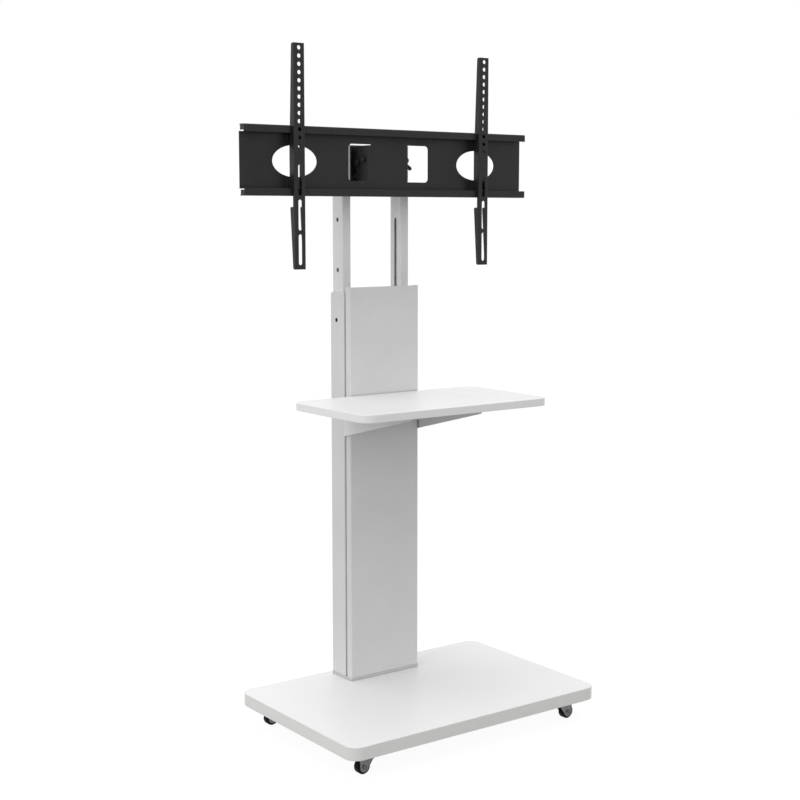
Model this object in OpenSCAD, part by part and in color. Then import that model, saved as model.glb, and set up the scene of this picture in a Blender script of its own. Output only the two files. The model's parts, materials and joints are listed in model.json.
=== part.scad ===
// Rolling television stand: castered base board, twin post telescopic column,
// height adjustable shelf, tilting mount plate and two hook-on television arms.
// Millimetres. The front faces -Y, +Z is up, and the origin is on the floor
// under the middle of the base board.

/* [Base board] */
// Width of the base board
base_w = 600; // [520:10:800]
// Depth of the base board
base_d = 400; // [340:10:520]
// Thickness of the base board
base_t = 25; // [18:1:36]
// Radius of the base board's upright corners
base_corner_r = 25; // [10:1:60]

/* [Shelf] */
// Width of the shelf
shelf_w = 450; // [300:10:560]
// Depth of the shelf
shelf_d = 250; // [200:10:300]
// Thickness of the shelf
shelf_t = 15; // [12:1:20]
// Radius of the shelf's upright corners
shelf_corner_r = 28; // [8:1:60]
// Height of the shelf's underside above the base board
shelf_rise = 573; // [400:5:620]
// Thickness of the glued edge band on both boards
edge_band_t = 2; // [1.6:0.1:3]
// Rounding of the edge band's two outer edges
edge_round_r = 0.8; // [0.4:0.1:0.8]

/* [Shelf brackets] */
// Sheet thickness of the shelf brackets
bracket_t = 2.5; // [2:0.1:4]
// Reach of the bracket in front of the column cover
bracket_reach = 204; // [140:2:230]
// Depth of the bracket's tip
bracket_tip_h = 11; // [8:0.5:20]
// Fall of the bracket's lower edge, per unit of length
bracket_fall_share = 0.256; // [0.15:0.01:0.4]
// Width of the bracket's flange under the shelf
bracket_flange_w = 22; // [16:1:40]

/* [Column] */
// Width over the two outer tubes
column_w = 170; // [150:2:220]
// Width of an outer tube
tube_w = 27; // [24:0.5:34]
// Depth of an outer tube
tube_d = 48.4; // [46:0.4:60]
// Length of an outer tube
tube_h = 786; // [700:2:820]
// Wall of an outer tube
tube_wall = 1.8; // [1.5:0.1:2.4]
// Distance from the base board's rear edge to the tubes
tube_rear_inset = 12.4; // [8:0.2:40]
// Thickness of the foot plate
foot_t = 6; // [5:0.5:12]
// How far the foot plate stands out all round
foot_lip = 1; // [0.5:0.1:4]
// Length of the front cover
cover_h = 799; // [700:1:840]
// Depth of the front cover
cover_d = 14.6; // [10:0.2:20]
// Sheet thickness of the front cover
cover_t = 1.2; // [0.8:0.1:2]
// Width of the gap between front cover and tubes
side_gap = 6.6; // [6:0.1:10]

/* [Posts] */
// Width of a sliding post
post_w = 20.2; // [17:0.2:26]
// Length of a sliding post
post_h = 660; // [560:10:700]
// Wall of a sliding post
post_wall = 1.8; // [1.5:0.1:2.4]
// Height of a post's top above the base board
post_top_rise = 1093; // [1085:1:1094]
// Diameter of the lock holes in the posts
lock_hole_d = 9; // [7:0.5:10]
// Pitch of the lock holes
lock_pitch = 100; // [40:10:120]
// Height of the lock screws above the base board
lock_rise = 738; // [680:1:740]
// Width of the guide slot in a post
guide_slot_w = 8.3; // [7:0.1:10]

/* [Mount plate] */
// Width of the mount plate
plate_w = 680; // [520:10:800]
// Height of the mount plate
plate_h = 131; // [120:1:160]
// Depth of the plate's upper and lower rails
rail_d = 19.5; // [16:0.5:26]
// Height of the lips on the rails
lip_h = 14; // [10:0.5:18]
// Sheet thickness of the mount plate
plate_t = 2; // [1.5:0.1:3]
// Height of the plate's lower edge above the base board
plate_rise = 983; // [980:1:985]
// Distance from the plate's back face to the front cover
plate_to_cover = 13.6; // [12:0.2:16]
// Width of an oval cut-out
oval_w = 100; // [60:2:110]
// Height of an oval cut-out
oval_h = 60; // [40:2:80]
// Distance of an oval's middle from the centre
oval_x = 220; // [180:5:260]
// Width of a window
window_w = 50.2; // [45:0.2:60]
// Height of a window
window_h = 72.4; // [70:0.2:80]
// Width of the strip between the windows
strip_w = 94.4; // [80:0.2:100]
// Radius of the windows' outer corners
window_r = 8; // [4:0.5:12]

/* [Tilt head] */
// Height of the tilt pivot above the plate's lower edge
pivot_rise = 67.2; // [60:0.2:72]
// Distance of the tilt pivot behind the plate's back face
pivot_back = 38.6; // [34:0.2:42]
// Diameter of the tilt pivot
pivot_d = 8; // [6:0.5:10]
// Distance of the clamp bolt in front of the pivot
clamp_ahead = 22; // [19:0.5:24]
// Height of the clamp bolt above the pivot
clamp_above = 6; // [2:0.5:10]
// Greatest forward tilt in degrees
tilt_forward = 10; // [6:1:12]
// Greatest backward tilt in degrees
tilt_back = 5; // [3:1:5]
// Length of the clamp lever
lever_l = 16; // [10:0.5:16]

/* [Television arms] */
// Length of a television arm
arm_l = 420; // [400:5:480]
// Width of a television arm
arm_w = 24; // [20:0.5:32]
// Sheet thickness of a television arm
arm_t = 2; // [1.5:0.1:3]
// Height of the arms' upper ends above the plate's upper edge
arm_above = 151; // [120:1:200]
// Distance from the arms' front face to the rails' front face
arm_ahead = 8.3; // [7:0.1:10]
// Centre of the left arm, to the left of the middle
arm_left_x = 225; // [110:1:290]
// Centre of the right arm, to the right of the middle
arm_right_x = 221.4; // [110:0.2:290]
// Diameter of the arms' screw holes
arm_hole_d = 8; // [6:0.5:9]
// Pitch of the arms' screw holes
arm_hole_pitch = 15; // [12:0.5:20]
// Number of screw holes in an arm
arm_holes = 13; // [5:1:13]
// Length of an arm's slots
arm_slot_l = 58; // [30:1:60]
// Pitch of an arm's slots
arm_slot_pitch = 65.2; // [62:0.2:70]

/* [Casters] */
// Height of a caster
caster_h = 42; // [38:0.5:60]
// Diameter of a caster's wheel
wheel_d = 28; // [20:0.5:28.5]
// Width of a caster's wheel
wheel_w = 12.6; // [8:0.2:16]
// Distance of the wheel's axle behind the swivel
trail = 7; // [6:0.5:10]
// Distance from the base board's side to a swivel
caster_inset_x = 55; // [40:1:90]
// Distance from the base board's front or rear edge to a swivel
caster_inset_y = 40; // [34:1:90]

/* [Hidden] */
$fn = 48;

// Inner radius of bent sheet
bend_in_r = 1.5;

// Working clearances
move_gap = 0.3;
seat_gap = 0.1;
run_gap = 0.06;
cut = 1;

// Levels and planes shared by neighbouring pieces
base_top = caster_h + base_t;
foot_top = base_top + foot_t;
tube_rear = base_d / 2 - tube_rear_inset;
tube_front = tube_rear - tube_d;
cover_rear = tube_front - side_gap;
cover_front = cover_rear - cover_d;
tube_top = foot_top + tube_h;
tube_x = (column_w - tube_w) / 2;

// Groove for the shelf's nuts in the front of each tube
groove_lip = 1.6;
groove_d = 3.6;
groove_w = 17;
groove_mouth = 7;
tube_corner_r = 2.5;
cavity_r = 1;
bush_wall = 1.25;
post_gap = bush_wall + 0.35;
cavity_front = tube_front + groove_lip + groove_d + tube_wall;
cavity_rear = tube_rear - tube_wall;
cavity_w = tube_w - 2 * tube_wall;
post_front = cavity_front + post_gap;
post_rear = cavity_rear - post_gap;
post_d = post_rear - post_front;
post_side = post_w / 2;
post_corner_r = 2.5;
post_top = base_top + post_top_rise;
post_foot = post_top - post_h;
post_mid_y = (post_front + post_rear) / 2;
post_inner_x = tube_x - post_side;
lock_z = base_top + lock_rise;

// Column details
bush_l = 40;
bush_flange_t = 1.5;
bush_flange_inset = 1;
cover_corner_r = 3;
foot_corner_r = 4;
bar_h = 30;
bar_d = 20;
bar_wall = 2;
bar_corner_r = 3;
bar_low_rise = 20;
bar_top_drop = 40;
bar_x = column_w / 2 - tube_w;
bar_rises = [bar_low_rise, tube_h / 2, tube_h - bar_top_drop];
bar_front = tube_front + tube_d / 4;
clip_w = 60;
clip_t = 2;
foot_bolt_d = 8;
foot_bolt_head_d = 14;
foot_bolt_head_h = 5;
foot_bolt_x = column_w / 4;
foot_bolt_in_y = 14;

// Lock and guide screws
lock_recess = 1;
lock_key_d = 5;
lock_key_depth = 1.2;
guide_screw_d = 6;
guide_head_d = 10;
guide_head_h = 3.5;
guide_tip = 1.4;
socket_d = 4.6;
socket_depth = 2;
slot_above_screw = 204;
slot_below_screw = 260;
hole_below_screw = 2;
hole_above_screw = 2;
post_cap_t = 2;
post_cap_plug = 12;
glide_h = 30;

// Head between the posts
beam_t = 3;
beam_rear = post_rear;
beam_d = 20.4;
beam_front = beam_rear - beam_d;
plate_bottom = base_top + plate_rise;
plate_top = plate_bottom + plate_h;
plate_mid_z = (plate_bottom + plate_top) / 2;
plate_back = cover_front - plate_to_cover;
plate_face = plate_back - plate_t;
rail_front = plate_back - rail_d;
pivot_y = plate_back + pivot_back;
pivot_z = plate_bottom + pivot_rise;
clamp_y = pivot_y - clamp_ahead;
clamp_z = pivot_z + clamp_above;
beam_h = window_h + 2;
beam_z = plate_mid_z - beam_h / 2;
mast_bolt_d = 8;
mast_bolt_head_d = 13;
mast_bolt_head_h = 5;
mast_nut_h = 6;
mast_bolt_in = 17;
ear_w = strip_w / 2;
ear_gap = 1.5;
ear_h = window_h - 2 * ear_gap;
ear_l = window_w - ear_gap;
ear_rear = plate_face + ear_l;
ear_bend = bend_in_r + plate_t;
cheek_t = 3;
cheek_outer = ear_w - plate_t - move_gap;
cheek_nose_r = 10;
cheek_root_h = 54;
clamp_d = 6;
clamp_slot_w = 7;
clamp_r = norm([clamp_ahead, clamp_above]);
clamp_angle = 180 - atan2(clamp_above, clamp_ahead);
clamp_margin = 1.5;
head_h = 4;
head_d = 11;
pivot_head_d = 13;
washer_t = 1.5;
washer_d = 13;
lever_hub_d = 13;
lever_hub_l = 7;
lever_end_r = 4;
lever_lean = 12;
lever_neck_r = 3;
clamp_end_h = 2;

// Mount plate details
bend_r = 3;
tab_d = 13.8;
tab_h = 10;
relief_w = 13;
relief_h = 13;

// Television arm details
arm_top = plate_top + arm_above;
arm_bottom = arm_top - arm_l;
arm_face = rail_front - arm_ahead;
arm_bend_r = 2;
arm_tip_d = 9;
arm_foot_d = 8;
arm_root_d = 15.3;
arm_mid_d = 17.7;
arm_low_d = 16.3;
arm_neck_d = 6.4;
arm_nib_h = 5;
arm_low_drop = 20.5;
arm_corner_r = 4;
arm_hole_first = 8.5;
arm_slot_first = 223.4;

// Shelf details
shelf_z = base_top + shelf_rise;
shelf_rear = cover_front - 0.5;
shelf_front = shelf_rear - shelf_d;
bracket_x = column_w / 2 + move_gap;
tab_rear = tube_front - move_gap;
tab_front = tab_rear - bracket_t;
tab_in = tube_x - 9;
slot_nut_w = 15;
slot_nut_t = 3;
slot_nut_h = 52;
slot_screw_d = 5;
slot_screw_head_d = 9;
slot_screw_head_h = 2.8;
slot_screw_pitch = 32;
slot_screw_rise = 34;
shelf_screw_d = 4;
shelf_screw_head_d = 8;
shelf_screw_head_h = 2;
shelf_screw_depth = 10;
shelf_screw_crown_d = 5.6;
recess_w = 1;
recess_l = 4;
recess_depth = 1.2;
shelf_screw_spots_shares = [0.12, 0.5, 0.88];
flange_end_gap = 1;

// Caster details
wheel_r = wheel_d / 2;
caster_x = base_w / 2 - caster_inset_x;
caster_y = base_d / 2 - caster_inset_y;
caster_plate_w = 36;
caster_plate_t = 2;
caster_plate_r = 4;
caster_hole_in = 5;
caster_hole_x = caster_plate_w / 2 - caster_hole_in;
caster_screw_d = 4;
caster_screw_head_d = 7;
caster_screw_head_h = 1.6;
caster_screw_crown_d = 5;
caster_screw_depth = 14;
crown_t = 2;
crown_r = 18;
crown_h = 6.2;
crown_round = 2;
skirt_t = 1.5;
race_r = 13;
race_bore_r = 6;
race_round = 1.5;
race_h = caster_h * 0.09;
crown_top = caster_h - caster_plate_t - race_h - move_gap;
kingpin_r = 4;
fork_t = 1.5;
fork_gap = 0.5;
fork_end_r = 9.4;
fork_rim = 2;
fork_dish = 0.5;
fork_back = 13.5;
fork_ahead = trail + fork_end_r;
fork_shoulder = 8.4;
kingpin_head_r = wheel_w / 2 + fork_gap - move_gap;
kingpin_head_h = 1.6;
axle_r = 3;
axle_head_r = 4.5;
axle_head_h = 1.2;
tyre_t = 3;
tyre_round = 1;
hub_r = 6;
hub_web_w = wheel_w * 0.45;
rim_t = 2;

white = [0.93, 0.93, 0.93];
grey_steel = [0.62, 0.63, 0.64];
black = [0.09, 0.09, 0.09];
nylon = [0.85, 0.85, 0.84];
zinc = [0.75, 0.76, 0.78];

// Rounded rectangle about the origin
module round_plan(w, d, r) {
    square([w - 2 * r, d], center = true);
    square([w, d - 2 * r], center = true);
    for (x = [-1, 1])
        for (y = [-1, 1])
            translate([x * (w / 2 - r), y * (d / 2 - r)])
                circle(r);
}

// Angle of bent sheet: its outer corner is at the origin, its legs run towards -X and -Y
module angle_section(leg_x, leg_y, t) {
    bend = bend_in_r + t;
    translate([-leg_x, -t])
        square([leg_x - bend, t]);
    translate([-t, -leg_y])
        square([t, leg_y - bend]);
    translate([-bend, -bend])
        intersection() {
            difference() {
                circle(bend);
                circle(bend_in_r);
            }
            square(bend + cut);
        }
}

// Channel of bent sheet, open towards +X, with the middle of its mouth at the origin
module channel_section(depth, h, t) {
    difference() {
        channel_outside(depth, h, bend_in_r + t);
        translate([cut, 0])
            channel_outside(depth - t + cut, h - 2 * t, bend_in_r);
    }
}

// Filled outline of a channel's outside
module channel_outside(depth, h, r) {
    difference() {
        round_plan(2 * depth, h, r);
        translate([0, -h])
            square([2 * depth, 2 * h]);
    }
}

// Extrudes an outline drawn in Y and Z along X, centred on the YZ plane
module along_x(length) {
    translate([-length / 2, 0, 0])
        rotate([90, 0, 90])
            linear_extrude(length)
                children();
}

// Extrudes an outline drawn in X and Z along Y from y0
module along_y(y0, length) {
    translate([0, y0 + length, 0])
        rotate([90, 0, 0])
            linear_extrude(length)
                children();
}

// Round bar along X between two places
module rod_x(r, x0, x1) {
    translate([x0, 0, 0])
        rotate([0, 90, 0])
            cylinder(r = r, h = x1 - x0);
}

// Round bar along Y between two places
module rod_y(r, y0, y1) {
    translate([0, y0, 0])
        rotate([-90, 0, 0])
            cylinder(r = r, h = y1 - y0);
}

// Upright slot cut along Y, given by its round ends' centres
module slot_y(r, z0, z1, y0, y1) {
    for (z = [z0, z1])
        translate([0, 0, z])
            rod_y(r, y0, y1);
    translate([-r, y0, z0])
        cube([2 * r, y1 - y0, z1 - z0]);
}

// Profile of an edge band, with its outer edges rounded
module band_profile(h) {
    square([edge_band_t - edge_round_r, h]);
    translate([0, edge_round_r])
        square([edge_band_t, h - 2 * edge_round_r]);
    for (z = [edge_round_r, h - edge_round_r])
        translate([edge_band_t - edge_round_r, z])
            circle(edge_round_r);
}

// Edge band round a board of outer size w by d
module edge_band(w, d, r, h) {
    for (turn = [0, 180])
        rotate([0, 0, turn]) {
            translate([-(w / 2 - r), d / 2 - edge_band_t, 0])
                rotate([90, 0, 90])
                    linear_extrude(w - 2 * r)
                        band_profile(h);
            rotate([0, 0, 90])
                translate([-(d / 2 - r), w / 2 - edge_band_t, 0])
                    rotate([90, 0, 90])
                        linear_extrude(d - 2 * r)
                            band_profile(h);
            translate([w / 2 - r, d / 2 - r, 0])
                rotate_extrude(angle = 90)
                    translate([r - edge_band_t, 0])
                        band_profile(h);
            translate([-(w / 2 - r), d / 2 - r, 0])
                rotate([0, 0, 90])
                    rotate_extrude(angle = 90)
                        translate([r - edge_band_t, 0])
                            band_profile(h);
        }
}

// Board inside its edge band
module board_core(w, d, r, h) {
    linear_extrude(h)
        round_plan(w - 2 * edge_band_t, d - 2 * edge_band_t, r - edge_band_t);
}

// Cross recess cut upwards from the origin
module cross_recess(length, depth) {
    for (turn = [0, 90])
        rotate([0, 0, turn])
            translate([-length / 2, -recess_w / 2, -cut])
                cube([length, recess_w, depth + cut]);
}

// Places a child at each of the four foot bolts
module at_foot_bolts() {
    for (x = [-1, 1])
        for (y = [cover_front + foot_bolt_in_y, tube_rear - foot_bolt_in_y])
            translate([x * foot_bolt_x, y, 0])
                children();
}

// Places a child at each caster, turned so that its wheel trails outwards
module at_caster(i) {
    side_shares = [[-1, -1], [1, -1], [-1, 1], [1, 1]];
    translate([side_shares[i][0] * caster_x, side_shares[i][1] * caster_y, 0])
        rotate([0, 0, side_shares[i][0] < 0 ? 180 : 0])
            children();
}

// Places a child at each of a caster's four plate holes
module at_plate_holes() {
    for (x = [-1, 1])
        for (y = [-1, 1])
            translate([x * caster_hole_x, y * caster_hole_x, 0])
                children();
}

module base_board() {
    color(white)
        difference() {
            translate([0, 0, caster_h])
                board_core(base_w, base_d, base_corner_r, base_t);
            translate([0, 0, caster_h - cut])
                at_foot_bolts()
                    cylinder(d = foot_bolt_d + 2 * seat_gap, h = base_t + 2 * cut);
            for (i = [0:3])
                at_caster(i)
                    at_plate_holes()
                        translate([0, 0, caster_h - cut])
                            cylinder(d = caster_screw_d + 2 * seat_gap, h = caster_screw_depth + 2 * cut);
        }
}

module base_edge_band() {
    color(white)
        translate([0, 0, caster_h])
            edge_band(base_w, base_d, base_corner_r, base_t);
}

module foot_plate() {
    foot_w = column_w + 2 * foot_lip;
    foot_d = tube_rear - cover_front + 2 * foot_lip;
    color(white)
        difference() {
            translate([0, (tube_rear + cover_front) / 2, base_top])
                linear_extrude(foot_t)
                    round_plan(foot_w, foot_d, foot_corner_r);
            translate([0, 0, base_top - cut])
                at_foot_bolts()
                    cylinder(d = foot_bolt_d + 2 * seat_gap, h = foot_t + 2 * cut);
        }
}

module foot_bolts() {
    color(zinc)
        at_foot_bolts() {
            translate([0, 0, caster_h - foot_bolt_head_h])
                cylinder(d = foot_bolt_head_d, h = foot_bolt_head_h, $fn = 6);
            translate([0, 0, caster_h - cut])
                cylinder(d = foot_bolt_d, h = base_t + foot_t + cut);
        }
}

// Outline of an outer tube: post cavity behind, nut groove in front
module tube_outline() {
    difference() {
        translate([0, (tube_front + tube_rear) / 2])
            round_plan(tube_w, tube_d, tube_corner_r);
        translate([0, (cavity_front + cavity_rear) / 2])
            round_plan(cavity_w, cavity_rear - cavity_front, cavity_r);
        translate([-groove_w / 2, tube_front + groove_lip])
            square([groove_w, groove_d]);
        translate([-groove_mouth / 2, tube_front - cut])
            square([groove_mouth, groove_lip + 2 * cut]);
    }
}

// Outer tube on the right of the column
module outer_tube() {
    translate([tube_x, 0, 0])
        difference() {
            translate([0, 0, foot_top])
                linear_extrude(tube_h)
                    tube_outline();
            translate([0, post_mid_y, lock_z]) {
                rod_x(lock_hole_d / 2, 0, tube_w);
                rod_x(guide_screw_d / 2 + seat_gap, -tube_w, 0);
            }
        }
}

module outer_tube_left() {
    color(white)
        mirror([1, 0, 0])
            outer_tube();
}

module outer_tube_right() {
    color(white)
        outer_tube();
}

module cross_bars() {
    color(white)
        for (rise = bar_rises)
            translate([0, bar_front + bar_d / 2, foot_top + rise + bar_h / 2])
                along_x(2 * bar_x)
                    difference() {
                        round_plan(bar_d, bar_h, bar_corner_r);
                        round_plan(bar_d - 2 * bar_wall, bar_h - 2 * bar_wall, bar_corner_r - bar_wall);
                    }
}

module column_cover() {
    inner_w = column_w - 2 * cover_t;
    color(white)
        translate([0, 0, foot_top])
            linear_extrude(cover_h)
                difference() {
                    translate([0, cover_front + cover_d])
                        round_plan(column_w, 2 * cover_d, cover_corner_r);
                    translate([0, cover_front + cover_t + cover_d])
                        round_plan(inner_w, 2 * cover_d, cover_corner_r - cover_t);
                    translate([-column_w, cover_rear])
                        square([2 * column_w, 2 * cover_d]);
                }
}

module cover_clips() {
    clip_front = cover_front + cover_t;
    clip_d = bar_front - clip_front;
    color(zinc)
        for (rise = bar_rises)
            translate([0, clip_front + clip_d / 2, foot_top + rise + bar_h / 2])
                along_x(clip_w)
                    difference() {
                        round_plan(clip_d, bar_h, bend_in_r + clip_t);
                        round_plan(clip_d - 2 * clip_t, bar_h - 2 * clip_t, bend_in_r);
                    }
}

module guide_bush() {
    cavity_d = cavity_rear - cavity_front;
    bore_w = post_w + 2 * (post_gap - bush_wall);
    bore_d = post_d + 2 * (post_gap - bush_wall);
    translate([tube_x, 0, 0])
        difference() {
            union() {
                translate([0, post_mid_y, tube_top - bush_l])
                    linear_extrude(bush_l)
                        round_plan(cavity_w, cavity_d, cavity_r);
                translate([0, (tube_front + tube_rear) / 2, tube_top])
                    linear_extrude(bush_flange_t)
                        round_plan(tube_w - 2 * bush_flange_inset, tube_d - 2 * bush_flange_inset,
                            tube_corner_r - bush_flange_inset);
            }
            translate([0, post_mid_y, tube_top - bush_l - cut])
                linear_extrude(bush_l + bush_flange_t + 2 * cut)
                    round_plan(bore_w, bore_d, post_corner_r);
        }
}

module guide_bush_left() {
    color(nylon)
        mirror([1, 0, 0])
            guide_bush();
}

module guide_bush_right() {
    color(nylon)
        guide_bush();
}

module lock_screws() {
    tip_x = tube_x + post_side + move_gap;
    face_x = column_w / 2 - lock_recess;
    color(black)
        for (side = [0, 1])
            mirror([side, 0, 0])
                translate([0, post_mid_y, lock_z])
                    difference() {
                        rod_x(lock_hole_d / 2 - seat_gap, tip_x, face_x);
                        translate([face_x - lock_key_depth, 0, 0])
                            rotate([0, 90, 0])
                                cylinder(d = lock_key_d, h = lock_key_depth + cut, $fn = 6);
                    }
}

module guide_screws() {
    wall_x = column_w / 2 - tube_w;
    color(zinc)
        for (side = [0, 1])
            mirror([side, 0, 0])
                translate([0, post_mid_y, lock_z])
                    difference() {
                        union() {
                            rod_x(guide_head_d / 2, wall_x - guide_head_h, wall_x);
                            rod_x(guide_screw_d / 2, wall_x - cut, post_inner_x + guide_tip);
                        }
                        translate([wall_x - guide_head_h - cut, 0, 0])
                            rotate([0, 90, 0])
                                cylinder(d = socket_d, h = socket_depth + cut, $fn = 6);
                    }
}

// Sliding post on the right, with lock holes outside and a guide slot inside
module post() {
    translate([tube_x, post_mid_y, 0])
        difference() {
            translate([0, 0, post_foot])
                linear_extrude(post_h)
                    difference() {
                        round_plan(post_w, post_d, post_corner_r);
                        round_plan(post_w - 2 * post_wall, post_d - 2 * post_wall, post_corner_r - post_wall);
                    }
            for (n = [-hole_below_screw:hole_above_screw])
                translate([0, 0, lock_z + n * lock_pitch])
                    rod_x(lock_hole_d / 2, 0, post_w);
            rotate([0, 0, 90])
                slot_y(guide_slot_w / 2, lock_z - slot_below_screw,
                    lock_z + slot_above_screw - guide_slot_w / 2, 0, post_w);
            for (z = [beam_z + mast_bolt_in, beam_z + beam_h - mast_bolt_in])
                translate([0, (beam_front + beam_rear) / 2 - post_mid_y, z])
                    rod_x(mast_bolt_d / 2 + seat_gap, -post_w, post_w);
        }
}

module post_left() {
    color(white)
        mirror([1, 0, 0])
            post();
}

module post_right() {
    color(white)
        post();
}

module post_caps() {
    plug_w = post_w - 2 * post_wall;
    plug_d = post_d - 2 * post_wall;
    plug_r = post_corner_r - post_wall;
    color(black)
        for (side = [-1, 1])
            translate([side * tube_x, post_mid_y, 0]) {
                translate([0, 0, post_top])
                    linear_extrude(post_cap_t)
                        round_plan(post_w, post_d, post_corner_r);
                translate([0, 0, post_top - post_cap_plug])
                    linear_extrude(post_cap_plug + cut)
                        difference() {
                            round_plan(plug_w, plug_d, plug_r);
                            square([plug_w - 2 * post_wall, plug_d - 2 * post_wall], center = true);
                        }
            }
}

module post_glides() {
    glide_w = cavity_w - 2 * (post_gap - bush_wall);
    glide_d = cavity_rear - cavity_front - 2 * (post_gap - bush_wall);
    color(nylon)
        for (side = [-1, 1])
            translate([side * tube_x, post_mid_y, post_foot])
                linear_extrude(glide_h)
                    difference() {
                        round_plan(glide_w, glide_d, cavity_r);
                        round_plan(post_w + 2 * seat_gap, post_d + 2 * seat_gap, post_corner_r + seat_gap);
                    }
}

// Open tray between the posts that carries the tilt bracket
module head_crossbar() {
    beam_x = tube_x - post_side;
    color(black)
        difference() {
            along_x(2 * beam_x)
                translate([beam_rear, beam_z + beam_h / 2])
                    channel_outside(beam_d, beam_h, bend_in_r + beam_t);
            along_x(2 * beam_x - 2 * beam_t)
                translate([beam_rear + cut, beam_z + beam_h / 2])
                    channel_outside(beam_d - beam_t + cut, beam_h - 2 * beam_t, bend_in_r);
            for (z = [beam_z + mast_bolt_in, beam_z + beam_h - mast_bolt_in])
                translate([0, (beam_front + beam_rear) / 2, z])
                    rod_x(mast_bolt_d / 2 + seat_gap, -2 * beam_x, 2 * beam_x);
        }
}

// Places a child at each mast bolt, on the right side and mirrored
module at_mast_bolts() {
    for (side = [0, 1])
        mirror([side, 0, 0])
            for (z = [beam_z + mast_bolt_in, beam_z + beam_h - mast_bolt_in])
                translate([0, (beam_front + beam_rear) / 2, z])
                    children();
}

module mast_bolts() {
    face_x = tube_x + post_side;
    end_x = tube_x - post_side - beam_t - mast_nut_h - 1.5;
    color(zinc)
        at_mast_bolts() {
            translate([face_x, 0, 0])
                rotate([0, 90, 0])
                    cylinder(d = mast_bolt_head_d, h = mast_bolt_head_h, $fn = 6);
            rod_x(mast_bolt_d / 2, end_x, face_x + cut);
        }
}

module mast_nuts() {
    face_x = tube_x - post_side - beam_t;
    color(zinc)
        at_mast_bolts()
            translate([face_x - mast_nut_h, 0, 0])
                rotate([0, 90, 0])
                    difference() {
                        cylinder(d = mast_bolt_head_d, h = mast_nut_h, $fn = 6);
                        translate([0, 0, -cut])
                            cylinder(d = mast_bolt_d + 2 * seat_gap, h = mast_nut_h + 2 * cut);
                    }
}

// Side view of a cheek of the tilt bracket
module cheek_outline() {
    root_z = pivot_z - cheek_root_h / 2;
    hull() {
        translate([clamp_y, clamp_z])
            circle(cheek_nose_r, $fn = 32);
        translate([beam_front - cheek_t, root_z])
            square([cheek_t, cheek_root_h]);
    }
}

module tilt_bracket() {
    reach = beam_front - clamp_y + cheek_nose_r + cut;
    color(black)
        difference() {
            intersection() {
                translate([0, beam_front - reach, plate_bottom])
                    linear_extrude(plate_h)
                        rotate([0, 0, -90])
                            channel_section(reach, 2 * cheek_outer, cheek_t);
                along_x(2 * cheek_outer + 2 * cut)
                    cheek_outline();
            }
            translate([0, pivot_y, pivot_z])
                rod_x(pivot_d / 2 + seat_gap, -2 * cheek_outer, 2 * cheek_outer);
            translate([0, clamp_y, clamp_z])
                rod_x(clamp_d / 2 + seat_gap, -2 * cheek_outer, 2 * cheek_outer);
        }
}

module pivot_pin() {
    head_x = ear_w + move_gap;
    color(black)
        translate([0, pivot_y, pivot_z]) {
            rod_x(pivot_d / 2, -head_x - cut, head_x + cut);
            rod_x(pivot_head_d / 2, -head_x - head_h, -head_x);
            rod_x(pivot_head_d / 2, head_x, head_x + head_h);
        }
}

module clamp_bolt() {
    head_x = ear_w + move_gap;
    end_x = head_x + washer_t + 2 * move_gap + lever_hub_l;
    color(black)
        translate([0, clamp_y, clamp_z]) {
            rod_x(clamp_d / 2, -head_x - cut, end_x + cut);
            translate([-head_x - head_h, 0, 0])
                rotate([0, 90, 0])
                    cylinder(d = head_d, h = head_h, $fn = 6);
            rod_x(washer_d / 2, head_x, head_x + washer_t);
            rod_x(head_d / 2, end_x, end_x + clamp_end_h);
        }
}

module clamp_lever() {
    hub_x = ear_w + 2 * move_gap + washer_t;
    hub_mid = hub_x + lever_hub_l / 2;
    color(black)
        translate([0, clamp_y, clamp_z])
            difference() {
                union() {
                    rod_x(lever_hub_d / 2, hub_x, hub_x + lever_hub_l);
                    hull() {
                        translate([hub_mid, 0, -lever_hub_d / 2])
                            sphere(lever_neck_r, $fn = 32);
                        translate([hub_mid + lever_lean, 0, -lever_l])
                            sphere(lever_end_r, $fn = 32);
                    }
                }
                rod_x(clamp_d / 2 + run_gap, hub_x - cut, hub_x + lever_hub_l + cut);
            }
}

// Section of the mount plate: web with an inward-lipped rail above and below
module plate_section() {
    difference() {
        translate([(rail_front + plate_back) / 2, plate_mid_z])
            round_plan(rail_d, plate_h, bend_r);
        translate([(rail_front + plate_back) / 2, plate_mid_z])
            round_plan(rail_d - 2 * plate_t, plate_h - 2 * plate_t, bend_r - plate_t);
        translate([rail_front - cut, plate_bottom + lip_h])
            square([plate_t + 2 * cut, plate_h - 2 * lip_h]);
    }
}

// Window with its two outer corners rounded
module window_outline() {
    x0 = strip_w / 2;
    difference() {
        translate([x0, plate_mid_z - window_h / 2])
            square([window_w, window_h]);
        for (s = [-1, 1])
            translate([x0 + window_w - window_r, plate_mid_z + s * (window_h / 2 - window_r)])
                difference() {
                    translate([0, s > 0 ? 0 : -window_r - cut])
                        square([window_r + cut, window_r + cut]);
                    circle(window_r);
                }
    }
}

// Side view of an ear, with its two rear corners rounded
module ear_outline() {
    difference() {
        translate([plate_face - cut, plate_mid_z - ear_h / 2])
            square([ear_rear - plate_face + cut, ear_h]);
        for (s = [-1, 1])
            translate([ear_rear - window_r, plate_mid_z + s * (ear_h / 2 - window_r)])
                difference() {
                    translate([0, s > 0 ? 0 : -window_r - cut])
                        square([window_r + cut, window_r + cut]);
                    circle(window_r);
                }
    }
}

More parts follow.
